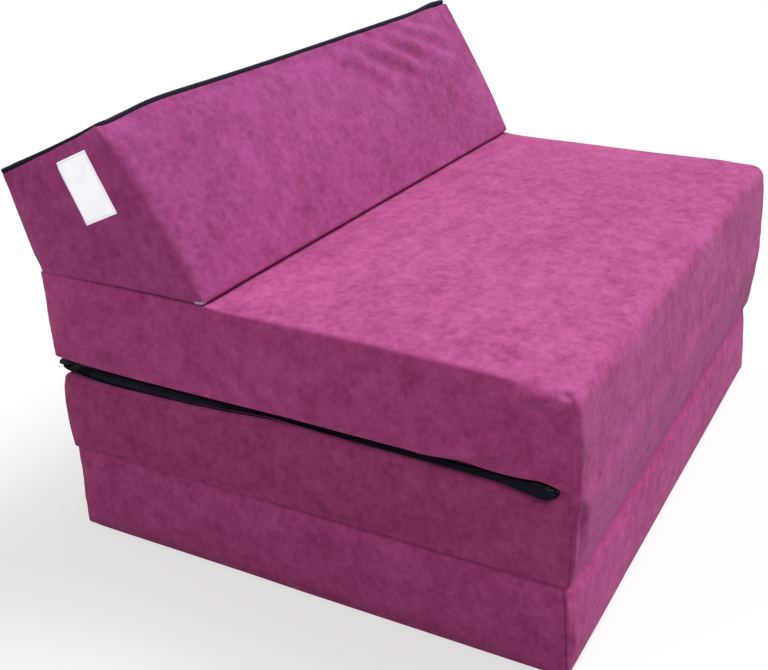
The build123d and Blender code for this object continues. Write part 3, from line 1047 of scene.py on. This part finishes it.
def repeat_piece(name, pattern, frames):
    """One piece with a copy of the pattern at each frame, an array of 4 by 4 matrices."""
    places = points_of(pattern)
    faces = [tuple(face.vertices) for face in pattern.data.polygons]
    solid = np.column_stack([places, np.ones(len(places))])
    copies = np.einsum("fij,vj->fvi", frames, solid)[:, :, :3].reshape(-1, 3)
    count = len(places)
    wanted = [tuple(index + count * copy for index in face) for copy in range(len(frames)) for face in faces]
    mesh = bpy.data.meshes.new(name)
    mesh.from_pydata(copies.tolist(), [], wanted)
    piece = bpy.data.objects.new(name, mesh)
    bpy.context.scene.collection.objects.link(piece)
    choose(piece)
    bpy.ops.object.shade_smooth_by_angle(angle=math.radians(50))
    return piece


def line_frames(zipper, inward, height, spacing, mouth, shift=0.0):
    """Frames along a line round a zip's face: x away from the line, y along it, z out of the face."""
    places, ways = edge_line(zipper, inward, spacing, mouth)
    local = np.repeat(np.eye(4)[None], len(places), axis=0)
    local[:, :2, 0] = ways[:, ::-1] * (1, -1)
    local[:, :2, 1] = ways
    local[:, :2, 3] = places + ways * shift
    local[:, 2, 3] = height
    return np.array(zipper.face) @ local


def strand(name, scale, detail, grain, dark, light, rough, relief, **constants):
    """Wire or thread with fine specks: rough is how the specks change its roughness, relief how they raise it."""
    wire = Finish(name, **constants)
    specks = wire.cloud(wire.places(), scale, detail, grain)
    colour = wire.ramp(specks, [dark, light])
    roughness = specks * rough[0] + rough[1]
    return wire.finish(Base_Color=colour, Roughness=roughness, Normal=wire.bump(specks, relief, fine_relief))


turn = coil_turn()
dark_nylon, dusty_nylon = (0.3, dye(16, 17, 28)), (0.75, dye(42, 44, 64))
nylon = strand("zip_coil_nylon", 260, 4, 0.6, dark_nylon, dusty_nylon, (0.25, 0.25), 0.1, IOR=1.53)
coil_offset = coil_gap / 2 + coil_width / 2 - 0.0004
coil_start = zip_lap + stop_length
for zipper in zippers:
    height = -zipper.recess - tape_depth
    outer = line_frames(zipper, zip_centre - coil_offset, height, coil_pitch, coil_start)
    inner = line_frames(zipper, zip_centre + coil_offset, height, coil_pitch, coil_start, coil_pitch / 2)
    coils = repeat_piece(zipper.name + "_coils", turn, np.concatenate([outer, inner]))
    fit_trim(coils, zipper, nylon)
    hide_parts(zipper.name + "_zip_coils")
    paint(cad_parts[zipper.name + "_zip_stops"], nylon)
bpy.data.objects.remove(turn)


# The sliders and pulls are cast metal with a black finish, worn to bare metal in scuffed places.


def black_metal(name):
    """Black finish over cast metal, scuffed in places."""
    metal = Finish(name, IOR=1.5)
    scuffs = metal.cloud(metal.places(), 700, 5, 0.7)
    worn = metal.eased(scuffs, 0.6, 0.72, 0.0, 1.0)
    colour = metal.mixed(worn, (*dye(30, 31, 36), 1), (*dye(150, 150, 156), 1))
    rough = 0.42 - worn * 0.12 + scuffs * 0.1
    relief = metal.bump(scuffs, 0.15, fine_relief)
    return metal.finish(Base_Color=colour, Metallic=worn * 0.9 + 0.1, Roughness=rough, Normal=relief)


slider_metal = black_metal("zip_slider_metal")
for zipper in zippers:
    for part in ("_zip_slider", "_zip_pull"):
        paint(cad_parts[zipper.name + part], slider_metal)


# A row of lockstitches in matching thread holds each inner tape, just inside the channel's edge.

stitch_length = 0.003
stitch_thread = 0.0007
stitch_pitch = stitch_length + 0.0006
stitch_margin = 0.0018


def one_stitch():
    """Single stitch lying along y, sunk at both ends."""
    deselect()
    bpy.ops.mesh.primitive_uv_sphere_add(segments=6, ring_count=5, radius=0.5, rotation=(math.pi / 2, 0, 0))
    stitch = bpy.context.object
    bpy.ops.object.transform_apply(location=True, rotation=True, scale=True)
    places = points_of(stitch) * (stitch_thread, stitch_length, stitch_thread)
    places[:, 2] -= 0.00035 * (2 * places[:, 1] / stitch_length) ** 4
    move_points(stitch, places)
    return stitch


def thread(name, light, dark):
    """Twisted sewing thread."""
    stops = ((0.3, dark), (0.7, light))
    return strand(name, 1500, 2, 0.6, *stops, (0.2, 0.6), 0.3, IOR=1.45, Sheen_Weight=0.3)


stitch = one_stitch()
pink_thread = thread("cover_thread", dye(205, 100, 165), dye(150, 58, 112))
stitch_line_and_seam_shade = zip_lap + zip_window + stitch_margin
for zipper in zippers:
    frames = line_frames(zipper, stitch_line_and_seam_shade, tiny - zipper.recess, stitch_pitch, zip_lap)
    sewing = repeat_piece(zipper.name + "_zip_stitches", stitch, frames)
    fit_trim(sewing, zipper, pink_thread)


# Strips of the cover's own cloth run over each fold line, sewn into both covers, and are the bed's only hinges.

fold_cloth = 0.0012
fold_margin = 0.014
fold_turn = 0.015
fold_taper = 0.68
fold_swell = 0.0011
fold_sink = 0.0022


def cloth_surface(*pieces):
    """Surfaces of some pieces, for finding where a line meets them."""
    return [BVHTree.FromObject(piece, bpy.context.evaluated_depsgraph_get()) for piece in pieces]


def meet(surfaces, start, direction):
    """First point at which a line from start meets one of the surfaces."""
    hits = [surface.ray_cast(Vector(start), Vector(direction))[0] for surface in surfaces]
    hits = [hit for hit in hits if hit is not None]
    return min(hits, key=lambda hit: (hit - Vector(start)).length) if hits else None


def fold_lines(facing, wrapped):
    """Starts and directions of the lines that lay a strip on the covers, from end to end."""
    margin = fold_turn if wrapped else fold_margin
    across = np.linspace(-half_width + margin, half_width - margin, 120)
    lines = [((x, facing * 0.6), (0, -facing)) for x in across]
    if wrapped:
        centre = np.array((half_width - fold_turn, facing * (-fold_front - fold_turn)))
        for angle in np.linspace(math.pi / 2, 0.12, 12)[1:]:
            way = np.array((-math.cos(angle), -facing * math.sin(angle)))
            start = centre - 0.3 * way
            lines.append((tuple(start), tuple(way)))
            lines.insert(0, ((-start[0], start[1]), (-way[0], way[1])))
    return lines


def fold_strip(name, pieces, heights, bridge, facing, wrapped):
    """Cloth over a fold line: it lies on both covers, crosses the groove between them and sinks in at its edges."""
    surfaces = cloth_surface(*pieces)
    low, high = heights
    centre = (low + high) / 2
    lines = fold_lines(facing, wrapped)
    fade = 0.004 if wrapped else 0.02
    spacing = 0.002 if wrapped else 0.0057
    rows = []
    for rise in np.linspace(-1, 1, 23):
        row = []
        for index, (start, way) in enumerate(lines):
            around = smooth_step(abs(way[0]), 0, 0.6)
            level = centre + rise * (high - centre) * (1 - fold_taper * around)
            over_groove = abs(level - centre) < bridge
            share = (level - centre + bridge) / (2 * bridge) if over_groove else 0
            wanted = (centre - bridge, centre + bridge) if over_groove else (level, level)
            hits = [meet(surfaces, (*start, height), (*way, 0)) for height in wanted]
            place = hits[0] * (1 - share) + hits[1] * share
            side = smooth_step(min(index, len(lines) - 1 - index) * spacing, 0, fade)
            out = (fold_swell * (1 - rise**2) + tiny) * side - fold_sink * max(abs(rise) ** 8, 1 - side)
            row.append((place.x - way[0] * out, place.y - way[1] * out, level))
        rows.append(np.array(row))
    if facing > 0:
        rows = rows[::-1]
    strip = cloth_strip(name, rows, fold_cloth, False)
    note_values(strip, "seam", np.full(len(strip.data.vertices), 1.0))
    note_end(strip)
    return strip


def sew_fold(place, low, high, level, reach, bridge, facing, painted_lights, wrapped=False):
    """Sew one strip over the fold between two blocks, bending where they meet."""
    cushions = [low + "_cushion", high + "_cushion"]
    pieces = [bpy.data.objects[cushion] for cushion in cushions]
    name = place + "_fold"
    strip = fold_strip(name + "_cloth", pieces, (level - reach, level + reach), bridge, facing, wrapped)
    coat(strip, suede(name + "_suede", *painted_lights))
    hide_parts(name + "_welt")
    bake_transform(strip)


# Each strip's face and end tones paint light and shade into its cloth, as on the covers.
front_painted_lights = ((1, 0.92, 1), (1.04, 0.85, 0.92))
rear_painted_lights = ((1, 0.9, 1), (1, 1, 1))
backrest_painted_lights = ((0.92, 0.92, 0.98), (1, 1, 1))
sew_fold("front", "middle", "seat", seat_low, 0.045, 0.006, -1, front_painted_lights, True)
sew_fold("rear", "base", "middle", middle_low, 0.045, 0.009, 1, rear_painted_lights)
sew_fold("backrest", "seat", "backrest", backrest_low, 0.04, 0.009, 1, backrest_painted_lights)


# The care label is a piece of white woven satin, sewn flat to the backrest's left end. It is bare.

label_width = 0.047
label_height = 0.067
label_thickness = 0.0004
label_tilt = math.radians(24)
label_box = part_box("care_label")
label_centre = (label_box[0] + label_box[1]) / 2


def satin(name):
    """White woven satin with a fine rib. Its glow is painted light, which makes it read brighter than the lamps light
    it.
    """
    cloth = Finish(name, IOR=1.45, Sheen_Weight=0.2, Emission_Strength=0.62)
    run, side = cloth.lengths()
    weave = (run * 5000).sine() * 0.5 + (side * 9000).sine() * 0.3
    soil = cloth.cloud(cloth.places(), 60, 4, 0.6)
    colour = cloth.ramp(soil + weave * 0.06, [(0.25, dye(232, 232, 240)), (0.6, dye(246, 246, 250))])
    relief = cloth.bump(weave, 0.25, fine_relief)
    return cloth.finish(Base_Color=colour, Emission_Color=colour, Roughness=soil * 0.15 + 0.5, Normal=relief)


def label_point(surfaces, along, up, lift):
    """Point over the backrest's left end at a place on the label."""
    y = label_centre.y + along * math.cos(label_tilt) + up * math.sin(label_tilt)
    z = label_centre.z - along * math.sin(label_tilt) + up * math.cos(label_tilt)
    hit = meet(surfaces, (-0.6, y, z), (1, 0, 0))
    return np.array((hit.x - lift, y, z))


end_surface = cloth_surface(backrest_cushion)
label_rows = []
for up in np.linspace(-label_height / 2, label_height / 2, 28):
    row = []
    for along in np.linspace(-label_width / 2, label_width / 2, 20):
        edge = max(abs(2 * along / label_width), abs(2 * up / label_height))
        lift = 0.0004 + 0.0009 * (1 - edge**3) + 0.0004 * noise.noise(Vector((along, up, 0)) * 70)
        row.append(label_point(end_surface, along, up, lift))
    label_rows.append(np.array(row))
label = cloth_strip("bare_care_label", label_rows, label_thickness, True)
coat(label, satin("care_label_satin"))
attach(label, "backrest")
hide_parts("care_label")


# White thread holds the label down all round, and a short bar of it locks the seam's end at the backrest's foot.

label_stitch_margin = 0.0018
tack_start = 0.0862
tack_length = 0.0095
tack_rise = 0.0045
tack_pitch = 0.0007
tack_lift = 0.0004
left = Vector((-1, 0, 0))


def sewn_frames(places, way, out):
    """Frames for stitches at some places, lying along one way on a surface that faces out."""
    frames = np.repeat(np.array(zip_face((0, 0, 0), way, out))[None], len(places), axis=0)
    frames[:, :3, 3] = places
    return frames


white_thread = thread("label_thread", dye(248, 248, 252), dye(214, 214, 224))
along_way = (0, math.cos(label_tilt), -math.sin(label_tilt))
up_way = (0, math.sin(label_tilt), math.cos(label_tilt))
label_surface = cloth_surface(label)
far_along = label_width / 2 - label_stitch_margin
far_up = label_height / 2 - label_stitch_margin
sewing_frames = []
for sign in (-1, 1):
    level = [(along, sign * far_up) for along in np.arange(-far_along, far_along, stitch_pitch)]
    upright = [(sign * far_along, up) for up in np.arange(-far_up, far_up, stitch_pitch)]
    for spots, way in ((level, along_way), (upright, up_way)):
        places = [label_point(label_surface, along, up, tiny) for along, up in spots]
        sewing_frames.append(sewn_frames(places, way, left))
label_sewing = repeat_piece("label_stitches", stitch, np.concatenate(sewing_frames))
coat(label_sewing, white_thread)
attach(label_sewing, "backrest")

tack_places = []
for shift in np.arange(0, tack_length, tack_pitch):
    start = Vector((-half_width, tack_start + shift, backrest_low + tack_rise)) + 0.2 * left
    tack_places.append(meet(end_surface, start, -left) + tack_lift * left)
tack = repeat_piece("seam_end_tack", stitch, sewn_frames(tack_places, (0.05, -0.1, 1), left))
coat(tack, white_thread)
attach(tack, "backrest")
bpy.data.objects.remove(stitch)


# The floor is plain and pale, and the light is soft.

camera_place = (-1.07872, -0.5872, 0.76085)
camera_azimuth = math.radians(-65.73)
camera_elevation = math.radians(24.15)
picture_width = 768
picture_height = 670
focal_pixels = 1056.87
view_centre = (524.37, 294.04)
sensor = 36

floor_glow = 0.64
ambient = 0.25
key_angle = math.radians(35)
key_energy = 2.55
key_way = Vector((0.45, -0.3, 0.85))
fill_place = Vector((-2.1, 1.1, 1.5))
fill_target = Vector((-0.35, 0, 0.2))
fill_size = 0.9
fill_energy = 5.5

pale = Finish("pale_floor", Roughness=0.9, Specular_IOR_Level=0.2, Emission_Strength=floor_glow)
seen_floor = pale.node("ShaderNodeLightPath", {}, {}, "Is Camera Ray")
floor_colour = pale.mixed(seen_floor, (0.4, 0.4, 0.4, 1), (0.38, 0.38, 0.38, 1))
pale.finish(Base_Color=floor_colour, Emission_Color=pale.mixed(seen_floor, (0, 0, 0, 1), (1, 1, 1, 1)))
deselect()
bpy.ops.mesh.primitive_plane_add(size=40, location=(0, 0, -0.0005))
floor = bpy.context.object
floor.name = "floor"
floor.data.materials.append(pale.material)

world = bpy.data.worlds.new("room")
bpy.context.scene.world = world
world.use_nodes = True
room = world.node_tree
back = room.nodes["Background"]
back.inputs["Color"].default_value = (1, 1, 1, 1)
path = room.nodes.new("ShaderNodeLightPath")
seen = room.nodes.new("ShaderNodeMath")
seen.operation = "MAXIMUM"
level = room.nodes.new("ShaderNodeMapRange")
level.inputs[3].default_value = ambient
level.inputs[4].default_value = 1.0
room.links.new(path.outputs["Is Camera Ray"], seen.inputs[0])
room.links.new(path.outputs["Is Glossy Ray"], seen.inputs[1])
room.links.new(seen.outputs[0], level.inputs[0])
room.links.new(level.outputs[0], back.inputs["Strength"])


def aim(thing, way, axis="Z"):
    """Turn a lamp's or the camera's own axis along a direction."""
    thing.rotation_mode = "QUATERNION"
    thing.rotation_quaternion = way.to_track_quat(axis, "Y")


deselect()
bpy.ops.object.light_add(type="SUN")
key = bpy.context.object
key.name = "key"
key.data.angle = key_angle
key.data.energy = key_energy
aim(key, key_way)

deselect()
bpy.ops.object.light_add(type="AREA", location=fill_place)
fill = bpy.context.object
fill.name = "fill"
fill.data.shape = "DISK"
fill.data.size = fill_size
fill.data.energy = fill_energy
aim(fill, fill_place - fill_target)

deselect()
bpy.ops.object.camera_add(location=camera_place)
camera = bpy.context.object
level_reach = math.cos(camera_elevation)
to_left = math.sin(camera_azimuth) * level_reach
to_front = -math.cos(camera_azimuth) * level_reach
aim(camera, -Vector((to_left, to_front, math.sin(camera_elevation))), "-Z")
camera.data.sensor_width = sensor
camera.data.lens = focal_pixels / picture_width * sensor
camera.data.shift_x = -(view_centre[0] - picture_width / 2) / picture_width
camera.data.shift_y = (view_centre[1] - picture_height / 2) / picture_width
bpy.context.scene.camera = camera
bpy.context.scene.view_settings.view_transform = "Standard"
